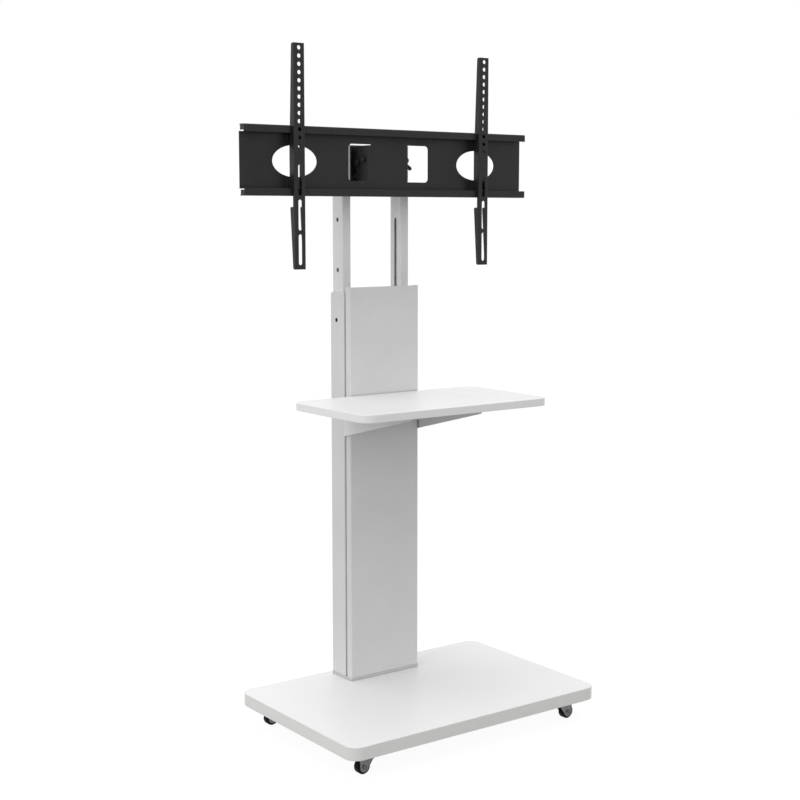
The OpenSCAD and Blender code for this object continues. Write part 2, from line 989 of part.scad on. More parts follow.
// Ear bent back from a window, with its pivot bore and clamp slot
module ear() {
    sweep = tilt_forward + tilt_back + 2 * clamp_margin;
    first = clamp_angle - tilt_forward - clamp_margin;
    difference() {
        intersection() {
            translate([ear_w, plate_face, plate_mid_z - ear_h / 2 - cut])
                linear_extrude(ear_h + 2 * cut)
                    mirror([0, 1, 0])
                        angle_section(ear_bend + cut, ear_rear - plate_face + cut, plate_t);
            along_x(2 * ear_w + 2 * cut)
                ear_outline();
        }
        translate([ear_w - plate_t, pivot_y, pivot_z]) {
            rod_x(pivot_d / 2 + run_gap, -cut, plate_t + cut);
            for (a = [first, first + sweep])
                rotate([a, 0, 0])
                    translate([0, clamp_r, 0])
                        rod_x(clamp_slot_w / 2, -cut, plate_t + cut);
            rotate([90, 0, 90])
                translate([0, 0, -cut])
                    rotate([0, 0, first])
                        rotate_extrude(angle = sweep)
                            translate([clamp_r - clamp_slot_w / 2, 0])
                                square([clamp_slot_w, plate_t + 2 * cut]);
        }
    }
}

module mount_plate() {
    color(black) {
        difference() {
            along_x(plate_w)
                plate_section();
            for (side = [0, 1])
                mirror([side, 0, 0]) {
                    along_y(plate_face - cut, plate_t + 2 * cut)
                        window_outline();
                    translate([ear_w - ear_bend, plate_face - cut, plate_mid_z - window_h / 2])
                        cube([ear_bend + cut, plate_t + 2 * cut, window_h]);
                    translate([oval_x, plate_back + cut, plate_mid_z])
                        rotate([90, 0, 0])
                            linear_extrude(plate_t + 2 * cut)
                                resize([oval_w, oval_h])
                                    circle(d = oval_w, $fn = 72);
                    for (z = [plate_bottom - cut, plate_top - relief_h])
                        translate([plate_w / 2 - relief_w, plate_back - bend_r, z])
                            cube([relief_w + cut, bend_r + cut, relief_h + cut]);
                }
        }
        for (side = [0, 1])
            mirror([side, 0, 0]) {
                ear();
                for (z = [plate_bottom + plate_t / 2, plate_top - plate_t / 2 - tab_h])
                    translate([plate_w / 2 - plate_t, rail_front + plate_t / 2, z])
                        cube([plate_t, tab_d, tab_h]);
            }
    }
}

// What a rounded rear corner takes off an arm's side view, above or a drop below its middle
module arm_corner_waste(y, z, drop) {
    translate([y - arm_corner_r, z])
        difference() {
            translate([0, -drop])
                square(arm_corner_r + cut);
            circle(arm_corner_r);
        }
}

// Side view of a television arm, hooked round both rails
module arm_outline() {
    y0 = arm_face;
    hook_in = rail_front + plate_t + move_gap;
    rail_in = rail_front - move_gap;
    top_lip = plate_top - lip_h - move_gap;
    nib_top = top_lip + arm_nib_h;
    low_lip = plate_bottom + lip_h + move_gap;
    low_z = plate_bottom - arm_low_drop;
    mid_rear = y0 + arm_mid_d;
    difference() {
        polygon([
            [y0, arm_bottom],
            [y0, arm_top],
            [y0 + arm_tip_d, arm_top],
            [y0 + arm_tip_d, arm_top - arm_corner_r],
            [y0 + arm_root_d, plate_top + move_gap],
            [rail_in, plate_top + move_gap],
            [rail_in, top_lip],
            [hook_in, top_lip],
            [hook_in, nib_top],
            [mid_rear, nib_top],
            [mid_rear, low_lip + arm_corner_r],
            [hook_in, low_lip],
            [y0 + arm_neck_d, low_lip],
            [y0 + arm_neck_d, low_z],
            [y0 + arm_low_d - arm_corner_r / 2, low_z],
            [y0 + arm_low_d, low_z - arm_corner_r / 2],
            [y0 + arm_foot_d, arm_bottom + arm_corner_r],
            [y0 + arm_foot_d, arm_bottom]
        ]);
        arm_corner_waste(y0 + arm_tip_d, arm_top - arm_corner_r, 0);
        arm_corner_waste(mid_rear, nib_top - arm_corner_r, 0);
        arm_corner_waste(y0 + arm_foot_d, arm_bottom + arm_corner_r, arm_corner_r + cut);
    }
}

// Television arm about X = 0
module tv_arm() {
    difference() {
        intersection() {
            translate([0, arm_face + arm_mid_d, arm_bottom])
                linear_extrude(arm_l)
                    difference() {
                        round_plan(arm_w, 2 * arm_mid_d, arm_bend_r);
                        translate([0, arm_t])
                            square([arm_w - 2 * arm_t, 2 * arm_mid_d], center = true);
                    }
            along_x(2 * arm_w)
                arm_outline();
        }
        for (n = [0:arm_holes - 1])
            translate([0, 0, arm_top - arm_hole_first - n * arm_hole_pitch])
                rod_y(arm_hole_d / 2, arm_face - cut, arm_face + arm_t + cut);
        for (n = [0:2])
            slot_y(arm_hole_d / 2,
                arm_top - arm_slot_first - n * arm_slot_pitch - arm_slot_l + arm_hole_d / 2,
                arm_top - arm_slot_first - n * arm_slot_pitch - arm_hole_d / 2,
                arm_face - cut, arm_face + arm_t + cut);
    }
}

module arm_left() {
    color(black)
        translate([-arm_left_x, 0, 0])
            tv_arm();
}

module arm_right() {
    color(black)
        translate([arm_right_x, 0, 0])
            tv_arm();
}

// Places a child at each shelf screw, on the right and mirrored
module at_shelf_screws() {
    front_y = cover_front - bracket_reach;
    for (side = [0, 1])
        mirror([side, 0, 0])
            for (share = shelf_screw_spots_shares)
                translate([bracket_x + bracket_t - bracket_flange_w / 2, front_y + share * bracket_reach, 0])
                    children();
}

module shelf_board() {
    color(white)
        difference() {
            translate([0, (shelf_front + shelf_rear) / 2, shelf_z])
                board_core(shelf_w, shelf_d, shelf_corner_r, shelf_t);
            at_shelf_screws()
                translate([0, 0, shelf_z - cut])
                    cylinder(d = shelf_screw_d + 2 * seat_gap, h = shelf_screw_depth + 2 * cut);
        }
}

module shelf_edge_band() {
    color(white)
        translate([0, (shelf_front + shelf_rear) / 2, shelf_z])
            edge_band(shelf_w, shelf_d, shelf_corner_r, shelf_t);
}

// Height of a bracket's plate below the shelf at a distance behind its tip
function bracket_drop(y) = bracket_tip_h + bracket_fall_share * (y - (cover_front - bracket_reach));

// Side view of a shelf bracket
module bracket_outline() {
    tip_y = cover_front - bracket_reach;
    polygon([
        [tip_y, shelf_z + cut],
        [tip_y, shelf_z - bracket_tip_h + bracket_t],
        [tip_y + bracket_t, shelf_z - bracket_drop(tip_y + bracket_t)],
        [tab_rear + cut, shelf_z - bracket_drop(tab_rear + cut)],
        [tab_rear + cut, shelf_z + cut]
    ]);
}

// Right shelf bracket: side plate, flange bent in under the shelf and tab bent into the side gap
module shelf_bracket() {
    tip_y = cover_front - bracket_reach;
    outer_x = bracket_x + bracket_t;
    bend = bend_in_r + bracket_t;
    low = bracket_drop(tab_rear);
    flange_rear = shelf_rear - flange_end_gap;
    difference() {
        intersection() {
            union() {
                along_y(tip_y, flange_rear - tip_y)
                    translate([outer_x, shelf_z])
                        angle_section(bracket_flange_w, low, bracket_t);
                difference() {
                    translate([outer_x, tab_rear, shelf_z - low])
                        linear_extrude(low)
                            angle_section(outer_x - tab_in, tab_rear - tip_y, bracket_t);
                    translate([bracket_x - cut, tip_y - cut, shelf_z - bend])
                        cube([bracket_t + 2 * cut, flange_rear + bracket_t - tip_y + cut, bend + cut]);
                }
            }
            along_x(2 * outer_x + 2 * cut)
                bracket_outline();
        }
        for (z = [0, slot_screw_pitch])
            translate([tube_x, 0, shelf_z - low + slot_screw_rise / 2 + z])
                rod_y(slot_screw_d / 2 + seat_gap, tab_front - cut, tab_rear + cut);
        translate([outer_x - bracket_flange_w / 2, tip_y, shelf_z - bracket_t - cut])
            for (share = shelf_screw_spots_shares)
                translate([0, share * bracket_reach, 0])
                    cylinder(d = shelf_screw_d + 2 * seat_gap, h = bracket_t + 2 * cut);
    }
}

module shelf_bracket_left() {
    color(white)
        mirror([1, 0, 0])
            shelf_bracket();
}

module shelf_bracket_right() {
    color(white)
        shelf_bracket();
}

// Places a child at each slot screw, on the right and mirrored
module at_slot_screws() {
    for (side = [0, 1])
        mirror([side, 0, 0])
            for (z = [0, slot_screw_pitch])
                translate([tube_x, 0, shelf_z - bracket_drop(tab_rear) + slot_screw_rise / 2 + z])
                    children();
}

module slot_nuts() {
    nut_y = tube_front + groove_lip + (groove_d - slot_nut_t) / 2;
    nut_z = shelf_z - bracket_drop(tab_rear) + slot_screw_rise / 2 + slot_screw_pitch / 2;
    color(zinc)
        difference() {
            for (side = [-1, 1])
                translate([side * tube_x - slot_nut_w / 2, nut_y, nut_z - slot_nut_h / 2])
                    cube([slot_nut_w, slot_nut_t, slot_nut_h]);
            at_slot_screws()
                rod_y(slot_screw_d / 2 + seat_gap, nut_y - cut, nut_y + slot_nut_t + cut);
        }
}

module slot_screws() {
    end_y = tube_front + groove_lip + groove_d - move_gap;
    color(zinc)
        at_slot_screws()
            difference() {
                union() {
                    rod_y(slot_screw_head_d / 2, tab_front - slot_screw_head_h, tab_front);
                    rod_y(slot_screw_d / 2, tab_front - cut, end_y);
                }
                translate([0, tab_front - slot_screw_head_h - cut, 0])
                    rotate([-90, 0, 0])
                        cylinder(d = socket_d, h = socket_depth + cut, $fn = 6);
            }
}

module shelf_screws() {
    color(zinc)
        at_shelf_screws()
            translate([0, 0, shelf_z - bracket_t])
                difference() {
                    union() {
                        translate([0, 0, -shelf_screw_head_h])
                            cylinder(h = shelf_screw_head_h, d1 = shelf_screw_crown_d,
                                d2 = shelf_screw_head_d);
                        translate([0, 0, -cut])
                            cylinder(d = shelf_screw_d, h = bracket_t + cut + shelf_screw_depth);
                    }
                    translate([0, 0, -shelf_screw_head_h])
                        cross_recess(recess_l, recess_depth);
                }
}

module caster_screws() {
    head_z = caster_h - caster_plate_t - caster_screw_head_h;
    color(zinc)
        for (i = [0:3])
            at_caster(i)
                at_plate_holes()
                    translate([0, 0, head_z])
                        difference() {
                            union() {
                                cylinder(d1 = caster_screw_crown_d, d2 = caster_screw_head_d,
                                    h = caster_screw_head_h);
                                cylinder(d = caster_screw_d,
                                    h = caster_screw_head_h + caster_plate_t + caster_screw_depth);
                            }
                            cross_recess(recess_l, recess_depth);
                        }
}

module swivel_races() {
    color(zinc)
        for (i = [0:3])
            at_caster(i)
                translate([0, 0, caster_h - caster_plate_t - race_h])
                    rotate_extrude() {
                        translate([race_bore_r, 0])
                            square([race_r - race_round - race_bore_r, race_h]);
                        translate([race_bore_r, race_round])
                            square([race_r - race_bore_r, race_h - race_round]);
                        translate([race_r - race_round, race_round])
                            circle(race_round);
                    }
}

module kingpins() {
    head_z = crown_top - crown_t - move_gap - kingpin_head_h;
    color(zinc)
        for (i = [0:3])
            at_caster(i)
                translate([0, 0, head_z]) {
                    cylinder(r = kingpin_head_r, h = kingpin_head_h);
                    cylinder(r = kingpin_r, h = caster_h - head_z - caster_plate_t / 2);
                }
}

module caster_plate(i) {
    color(grey_steel)
        at_caster(i)
            translate([0, 0, caster_h - caster_plate_t])
                difference() {
                    linear_extrude(caster_plate_t)
                        round_plan(caster_plate_w, caster_plate_w, caster_plate_r);
                    translate([0, 0, -cut]) {
                        at_plate_holes()
                            cylinder(d = caster_screw_d + 2 * seat_gap, h = caster_plate_t + 2 * cut);
                        cylinder(r = kingpin_r + seat_gap, h = caster_plate_t + 2 * cut);
                    }
                }
}

// Side view of a fork leg, drawn in by an inset
module fork_side(inset, top) {
    shoulder_z = crown_top - fork_shoulder;
    hull() {
        translate([trail, wheel_r])
            circle(fork_end_r - inset, $fn = 32);
        translate([-fork_back + inset, shoulder_z])
            square([fork_back + fork_ahead - 2 * inset, top - shoulder_z]);
    }
}

// Half section of the fork's crown, a shallow dish turned over
module crown_section() {
    difference() {
        union() {
            square([crown_r - crown_round, crown_h]);
            square([crown_r, crown_h - crown_round]);
            translate([crown_r - crown_round, crown_h - crown_round])
                circle(crown_round);
        }
        translate([0, -cut])
            square([crown_r - skirt_t, crown_h - crown_t + cut]);
    }
}

module caster_fork(i) {
    leg_y = wheel_w / 2 + fork_gap;
    crown_z = crown_top - crown_t;
    color(grey_steel)
        at_caster(i)
            difference() {
                union() {
                    translate([0, 0, crown_top - crown_h])
                        rotate_extrude()
                            crown_section();
                    for (side = [0, 1])
                        mirror([0, side, 0])
                            along_y(leg_y, fork_t)
                                fork_side(0, crown_z + crown_t / 2);
                }
                for (side = [0, 1])
                    mirror([0, side, 0])
                        along_y(leg_y + fork_t - fork_dish, fork_dish + cut)
                            fork_side(fork_rim, crown_z - fork_rim);
                translate([0, 0, crown_z - cut])
                    cylinder(r = kingpin_r + run_gap, h = crown_t + 2 * cut);
                translate([trail, 0, wheel_r])
                    rod_y(axle_r + seat_gap, -wheel_w, wheel_w);
            }
}

module caster_axle(i) {
    out_y = wheel_w / 2 + fork_gap + fork_t - fork_dish;
    color(zinc)
        at_caster(i)
            translate([trail, 0, wheel_r]) {
                rod_y(axle_r, -out_y, out_y);
                rod_y(axle_head_r, -out_y - axle_head_h, -out_y);
                rod_y(axle_head_r, out_y, out_y + axle_head_h);
            }
}

module caster_wheel(i) {
    hub_half = wheel_w / 2;
    inner_r = wheel_r - tyre_t;
    color(black)
        at_caster(i)
            translate([trail, 0, wheel_r])
                rotate([90, 0, 0])
                    rotate_extrude()
                        difference() {
                            translate([axle_r + run_gap, -hub_half])
                                square([inner_r - axle_r - run_gap, wheel_w]);
                            for (s = [-1, 1])
                                translate([hub_r, s > 0 ? hub_web_w / 2 : -hub_half - cut])
                                    square([inner_r - rim_t - hub_r, hub_half - hub_web_w / 2 + cut]);
                        }
}

module caster_tyre(i) {
    half = wheel_w / 2;
    inner_r = wheel_r - tyre_t;
    color(black)
        at_caster(i)
            translate([trail, 0, wheel_r])
                rotate([90, 0, 0])
                    rotate_extrude() {
                        translate([inner_r, -half])
                            square([tyre_t - tyre_round, wheel_w]);
                        translate([inner_r, -half + tyre_round])
                            square([tyre_t, wheel_w - 2 * tyre_round]);
                        for (s = [-1, 1])
                            translate([wheel_r - tyre_round, s * (half - tyre_round)])
                                circle(tyre_round);
                    }
}

base_board();
base_edge_band();
foot_plate();
foot_bolts();
outer_tube_left();
outer_tube_right();
cross_bars();
column_cover();
cover_clips();
guide_bush_left();
guide_bush_right();
lock_screws();
guide_screws();
post_left();
post_right();
post_caps();
post_glides();
head_crossbar();
mast_bolts();
mast_nuts();
tilt_bracket();
pivot_pin();
clamp_bolt();
clamp_lever();
mount_plate();
arm_left();
arm_right();
shelf_board();
shelf_edge_band();
shelf_bracket_left();
shelf_bracket_right();
slot_nuts();
slot_screws();
shelf_screws();
caster_screws();
swivel_races();
kingpins();
for (i = [0:3]) {
    caster_plate(i);
    caster_fork(i);
    caster_axle(i);
    caster_wheel(i);
    caster_tyre(i);
}
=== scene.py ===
"""Television stand with mount: materials, small steel details and a plain studio.

The CAD nodes keep their meshes and get procedural materials. The plain bolts and nuts are
replaced by threaded and chamfered ones, and weld beads are added. Lengths are in metres,
apart from the section on details, which is in millimetres.
"""

import json
import math

import bmesh
import bpy
from mathutils import Matrix, Vector


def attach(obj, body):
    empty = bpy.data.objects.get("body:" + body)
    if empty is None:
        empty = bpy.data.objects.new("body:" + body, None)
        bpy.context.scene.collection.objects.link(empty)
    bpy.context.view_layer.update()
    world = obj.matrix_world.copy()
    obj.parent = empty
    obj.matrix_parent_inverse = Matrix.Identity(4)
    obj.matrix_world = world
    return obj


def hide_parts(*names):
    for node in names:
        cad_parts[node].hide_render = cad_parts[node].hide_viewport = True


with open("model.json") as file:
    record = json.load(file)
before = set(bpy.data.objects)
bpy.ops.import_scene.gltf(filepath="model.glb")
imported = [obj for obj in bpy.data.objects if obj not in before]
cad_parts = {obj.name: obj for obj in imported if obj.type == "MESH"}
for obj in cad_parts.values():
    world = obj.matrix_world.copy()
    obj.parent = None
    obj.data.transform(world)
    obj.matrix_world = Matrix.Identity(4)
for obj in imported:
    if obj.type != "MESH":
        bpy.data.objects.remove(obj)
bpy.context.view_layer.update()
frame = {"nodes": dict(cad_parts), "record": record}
NODES = frame["nodes"]

# The photograph's viewpoint, fitted to the object's straight edges
CAMERA_PLACE = (-1.70113, -2.25306, 1.01559)
CAMERA_PITCH_DEG = 82.695
CAMERA_TURN_DEG = -36.263
CAMERA_LENS_MM = 65.16
CAMERA_SENSOR_MM = 36.0
CAMERA_REACH = 100.0


# ------------------------------------------------------------------- shaders

EDGE_SAMPLES = 6
EDGE_FACING = (0.80, 0.995)     # rounded against flat normal: full edge, no edge
SEAM_SAMPLES = 6
SEAM_LIGHT = (0.35, 0.80)       # ambient light: deep in a seam, outside it


def feed(tree, socket, value):
    """Link a node's output to a socket, or set the socket's own value."""
    if isinstance(value, bpy.types.NodeSocket):
        tree.links.new(value, socket)
    else:
        socket.default_value = value


def add_node(tree, kind, values=None, **settings):
    """A new node with its settings, and its inputs by name or number."""
    node = tree.nodes.new(kind)
    for key, value in settings.items():
        setattr(node, key, value)
    for key, value in (values or {}).items():
        feed(tree, node.inputs[key], value)
    return node


class Shader:
    """A Principled material and short ways to add nodes to it."""

    def __init__(self, name):
        self.material = bpy.data.materials.new(name)
        self.material.use_nodes = True
        self.tree = self.material.node_tree
        self.surface = self.tree.nodes["Principled BSDF"]
        self.place = self.add("ShaderNodeTexCoord").outputs["Object"]

    def add(self, kind, values=None, **settings):
        return add_node(self.tree, kind, values, **settings)

    def put(self, key, value):
        feed(self.tree, self.surface.inputs[key], value)

    def stretched(self, factors):
        values = {"Vector": self.place, "Scale": factors}
        return self.add("ShaderNodeMapping", values).outputs["Vector"]

    def noise(self, scale, detail=2.0, rough=0.5, where=None):
        values = {"Vector": where or self.place, "Scale": scale,
                  "Detail": detail, "Roughness": rough}
        return self.add("ShaderNodeTexNoise", values).outputs["Fac"]

    def spread(self, source, low, high, start=0.3, end=0.7):
        """The source's range from start to end, mapped to low to high."""
        values = {"Value": source, "From Min": start, "From Max": end,
                  "To Min": low, "To Max": high}
        return self.add("ShaderNodeMapRange", values).outputs["Result"]

    def sums(self, operation, a, b):
        return self.add("ShaderNodeMath", {0: a, 1: b}, operation=operation).outputs["Value"]

    def blend(self, factor, a, b):
        node = self.add("ShaderNodeMix", data_type="RGBA")
        for index, value in ((0, factor), (6, a), (7, b)):
            feed(self.tree, node.inputs[index], value)
        return node.outputs[2]

    def edges(self, radius):
        """The rounded normal at sharp edges, and a mask that is 1 on them."""
        bevel = self.add("ShaderNodeBevel", {"Radius": radius}, samples=EDGE_SAMPLES)
        rounded = bevel.outputs["Normal"]
        flat = self.add("ShaderNodeNewGeometry").outputs["Normal"]
        product = self.add("ShaderNodeVectorMath", {0: rounded, 1: flat}, operation="DOT_PRODUCT")
        return rounded, self.spread(product.outputs["Value"], 1.0, 0.0, *EDGE_FACING)

    def painted_seam_shade(self, reach):
        """A mask that is 1 deep in seams and inner corners, where the colour is darkened as painted
        shade.
        """
        near = self.add("ShaderNodeAmbientOcclusion", {"Distance": reach}, samples=SEAM_SAMPLES)
        return self.spread(near.outputs["AO"], 1.0, 0.0, *SEAM_LIGHT)

    def bump(self, height, depth, strength, normal):
        values = {"Height": height, "Distance": depth, "Strength": strength, "Normal": normal}
        self.put("Normal", self.add("ShaderNodeBump", values).outputs["Normal"])


def grey(level):
    return (level, level, level, 1.0)


def tint(colour, factor):
    return tuple(min(1.0, c * factor) for c in colour[:3]) + (1.0,)


# ----------------------------------------------------------------- materials
# Noise scales are per metre, so 1000 makes grains of about a millimetre


def powder_coat(name, colour, rough, worn, grain=1300.0, depth=0.00003, gloss=0.5):
    """Baked powder coat: orange peel, slow tone changes, handled patches, rubbed edges and painted
    shade in seams and inner corners.
    """
    s = Shader(name)
    s.put("Specular IOR Level", gloss)
    rounded, edge = s.edges(0.0005)
    tone = s.spread(s.noise(7.0, detail=3.0), 0.0, 1.0)
    body = s.blend(tone, tint(colour, 0.965), tint(colour, 1.03))
    speck = s.spread(s.noise(520.0), 0.0, 0.35, start=0.62, end=0.74)
    body = s.blend(speck, body, tint(worn, 0.9))
    rubbed = s.spread(s.noise(60.0, detail=4.0, rough=0.65), 0.0, 0.8, start=0.42, end=0.72)
    body = s.blend(s.sums("MULTIPLY", edge, rubbed), body, worn)
    # Painted shade: the colour is darkened deep in seams and inner corners
    shade = s.sums("MULTIPLY", s.painted_seam_shade(0.008), 0.75)
    s.put("Base Color", s.blend(shade, body, tint(colour, 0.45)))
    touched = s.spread(s.noise(22.0, detail=4.0, rough=0.6), rough - 0.06, rough + 0.10)
    peel = s.spread(s.noise(grain * 0.5, detail=1.0), -0.03, 0.03)
    s.put("Roughness", s.sums("ADD", touched, peel))
    s.bump(s.noise(grain, rough=0.55), depth, 0.55, rounded)
    return s.material


def laminate(name, colour, rough):
    """Melamine on particle board: a fine pearl texture, faint wipe marks and a little dust."""
    s = Shader(name)
    rounded, edge = s.edges(0.0004)
    tone = s.spread(s.noise(3.5, detail=3.0), 0.0, 1.0)
    body = s.blend(tone, tint(colour, 0.985), tint(colour, 1.012))
    dust = s.spread(s.noise(900.0, detail=3.0, rough=0.6), 0.0, 0.10, start=0.58, end=0.70)
    body = s.blend(dust, body, tint(colour, 0.86))
    s.put("Base Color", s.blend(s.sums("MULTIPLY", edge, 0.35), body, tint(colour, 0.90)))
    wiped = s.noise(9.0, detail=5.0, rough=0.6, where=s.stretched((1.0, 3.2, 1.0)))
    s.put("Roughness", s.spread(wiped, rough - 0.05, rough + 0.08))
    s.bump(s.noise(1500.0, detail=1.0), 0.00002, 0.5, rounded)
    return s.material


def edge_band(name, colour, rough):
    """Extruded edge band: fine lengthwise drawing lines under a satin face."""
    s = Shader(name)
    rounded, _ = s.edges(0.0003)
    lines = s.noise(1.0, detail=3.0, rough=0.6, where=s.stretched((40.0, 40.0, 2600.0)))
    body = s.blend(s.spread(lines, 0.0, 1.0), tint(colour, 0.975), tint(colour, 1.015))
    scuff = s.spread(s.noise(90.0, detail=4.0, rough=0.7), 0.0, 0.25, start=0.62, end=0.75)
    s.put("Base Color", s.blend(scuff, body, tint(colour, 0.84)))
    s.put("Roughness", s.spread(s.noise(30.0, detail=3.0), rough - 0.05, rough + 0.07))
    s.bump(lines, 0.00002, 0.35, rounded)
    return s.material


def plated(name, colour, rough, dulled):
    """Zinc plate on steel: crystalline patches, a rolled grain and dulled spots."""
    s = Shader(name)
    rounded, _ = s.edges(0.00035)
    cells = s.add("ShaderNodeTexVoronoi", {"Vector": s.place, "Scale": 420.0}).outputs["Color"]
    grain = s.add("ShaderNodeSeparateColor", {"Color": cells}).outputs[0]
    patches = s.spread(grain, 0.0, 1.0, start=0.0, end=1.0)
    body = s.blend(patches, tint(colour, 0.88), tint(colour, 1.06))
    spots = s.spread(s.noise(160.0, detail=4.0, rough=0.65), 0.0, 0.7, start=0.56, end=0.70)
    s.put("Base Color", s.blend(spots, body, dulled))
    s.put("Metallic", 1.0)
    finish = s.spread(grain, rough - 0.05, rough + 0.07, start=0.0, end=1.0)
    s.put("Roughness", s.sums("ADD", finish, s.sums("MULTIPLY", spots, 0.2)))
    s.bump(s.noise(900.0, detail=3.0, rough=0.6), 0.00002, 0.4, rounded)
    return s.material


def moulded(name, colour, rough, gloss=0.5):
    """Moulded plastic: spark-eroded grain, flow shading, and edges that are slightly shinier and
    painted lighter as a highlight.
    """
    s = Shader(name)
    s.put("Specular IOR Level", gloss)
    rounded, edge = s.edges(0.0005)
    flow = s.spread(s.noise(25.0, detail=3.0), 0.0, 1.0)
    body = s.blend(flow, tint(colour, 0.92), tint(colour, 1.08))
    # Painted highlight: the colour is lighter along sharp edges
    s.put("Base Color", s.blend(s.sums("MULTIPLY", edge, 0.4), body, tint(colour, 1.25)))
    face = s.spread(s.noise(140.0, detail=3.0), rough - 0.05, rough + 0.06)
    s.put("Roughness", s.sums("SUBTRACT", face, s.sums("MULTIPLY", edge, 0.12)))
    s.bump(s.noise(1600.0, rough=0.6), 0.00004, 0.6, rounded)
    return s.material


def tread(name, colour):
    """Soft tyre: a matt dark surface with picked-up dust."""
    s = Shader(name)
    s.put("Specular IOR Level", 0.08)
    rounded, _ = s.edges(0.0004)
    dust = s.spread(s.noise(240.0, detail=4.0, rough=0.65), 0.0, 0.55, start=0.52, end=0.72)
    s.put("Base Color", s.blend(dust, colour, tint(colour, 2.6)))
    s.put("Roughness", s.spread(dust, 0.52, 0.82, start=0.0, end=0.5))
    s.bump(s.noise(700.0, detail=3.0, rough=0.6), 0.00005, 0.5, rounded)
    return s.material


BLACK_STEEL = (0.0140, 0.0140, 0.0145, 1.0)
ZINC = (0.60, 0.61, 0.63, 1.0)
DARK_ZINC = (0.175, 0.175, 0.180, 1.0)
WARM_WHITE = (0.79, 0.79, 0.775, 1.0)
NYLON = (0.72, 0.72, 0.71, 1.0)

MATERIALS = {
    "board": laminate("board_laminate", grey(0.85), 0.36),
    # A darker copy of the laminate for the shelf board, as painted shade: its top gets more light than
    # the base board's
    "shelf_board": laminate("shelf_laminate_painted_shade", grey(0.80), 0.36),
    "edge_band": edge_band("edge_band", grey(0.86), 0.33),
    "base_band": edge_band("base_edge_band", WARM_WHITE, 0.33),
    "white_steel": powder_coat("white_powder_coat", grey(0.69), 0.40, grey(0.60)),
    # A lighter copy of the white powder coat for the posts and shelf brackets, as painted light
    "post_steel_painted_light": powder_coat("post_powder_coat_painted_light", grey(0.77), 0.36, grey(0.66)),
    # A darker copy of the white powder coat for the foot plate, as painted contact shade at the
    # column's foot
    "foot_steel_painted_shade": powder_coat("foot_powder_coat_painted_shade", grey(0.59), 0.42, grey(0.50)),
    "black_steel": powder_coat("black_powder_coat", BLACK_STEEL, 0.42, grey(0.07),
                               grain=1100.0, depth=0.00005, gloss=0.30),
    "zinc": plated("zinc_plate", ZINC, 0.30, grey(0.40)),
    "caster_steel": plated("caster_zinc", DARK_ZINC, 0.36, grey(0.115)),
    "axle_steel": plated("axle_zinc", grey(0.115), 0.40, grey(0.075)),
    "white_nylon": moulded("white_nylon", NYLON, 0.45),
    "black_plastic": moulded("black_plastic", grey(0.014), 0.42, gloss=0.25),
    "tyre": tread("tyre_rubber", grey(0.0035)),
}

# Nodes whose tone differs from the others of their material slot; the lighter coat of the posts and
# brackets, the darker coat of the foot plate and the darker laminate of the shelf board are painted
# light and shade
OWN_FINISH = {
    "post_left": "post_steel_painted_light", "post_right": "post_steel_painted_light",
    "shelf_bracket_left": "post_steel_painted_light", "shelf_bracket_right": "post_steel_painted_light",
    "foot_plate": "foot_steel_painted_shade", "shelf_board": "shelf_board", "base_edge_band": "base_band",
    "caster_axle_1": "axle_steel", "caster_axle_2": "axle_steel",
    "caster_axle_3": "axle_steel", "caster_axle_4": "axle_steel",
}

for entry in frame["record"]["subparts"]:
    node = NODES[entry["node"]]
    node.data.materials.clear()
    finish = OWN_FINISH.get(entry["node"], entry["material_slot"])
    node.data.materials.append(MATERIALS[finish])


# ------------------------------------------------------------------- details
# Places and lengths are in millimetres here, in the CAD frame; make() turns them into metres

MM = 0.001
CREASE_DEG = 32

HEX_STEPS = 48
CHAMFER_CIRCLE = 0.955          # of the radius to the flats, as are the next two
WASHER_FACE = 0.93
HEAD_DISH = ((0.80, 0.0), (0.72, -0.35), (0.1, -0.4))       # radius, height from the head's top
WASHER_H = 0.3
UNDERSIDE_SINK = -0.4
TIP_CHAMFER = ((0.72, 0.0), (0.80, 0.15))       # share of the shank's radius, height from the tip
THREAD_START, THREAD_END, THREAD_RUNOUT = 0.8, 4.0, 4.6     # heights from the tip
THREAD_PITCH = 1.25
THREAD_DEPTH = 0.55
RINGS_PER_TURN = 6

SHANK_R = 4.0
BOLT_HEAD_H = 5.0
MAST_BOLT_Y = 174.0
MAST_BOLT_LEVELS = (1095.3, 1135.7)
MAST_BOLT_TIP, MAST_BOLT_SEAT = 50.9, 81.6
MAST_HEX_R = 6.5
NUT_BORE_R, NUT_SEAT, NUT_H, NUT_SINK = 4.1, 52.4, 6.0, 0.6
FOOT_BOLT_XS, FOOT_BOLT_YS = (-42.5, 42.5), (132.0, 173.6)
FOOT_BOLT_TIP, FOOT_BOLT_SEAT = -72.7, -42.0
FOOT_HEX_R = 7.0

BEAD_SIDES = 8
BEAD_STEP = 0.8
RIPPLE, RIPPLE_PITCH = 0.13, 2.6
END_SIZE, END_GROWTH = 0.45, 0.3
CORNER_POINTS = 5
BEAD_R, TUBE_BACK_BEAD_R, UPRIGHT_BEAD_R = 1.5, 0.85, 1.7

BAR_END_X = 58.0
BAR_YS = (151.3, 171.3)
BAR_LEVELS = (93.0, 466.0, 819.0)
BAR_H, BAR_CORNER_R = 30.0, 3.0
FOOT_TOP = 73.0
TUBE_INNER_YS = (142.0, 185.0)
TUBE_BACK_Y, TUBE_BACK_XS = 187.6, (61.0, 82.0)
BRACKET_SIDE = (42.6, 163.4)
BRACKET_SIDE_LEVELS = (1093.0, 1141.5)
CROSSBAR_FRONT_Y = 163.8
BRACKET_LIP_XS, BRACKET_LIP_LEVELS = (12.0, 34.0), (1090.2, 1144.2)


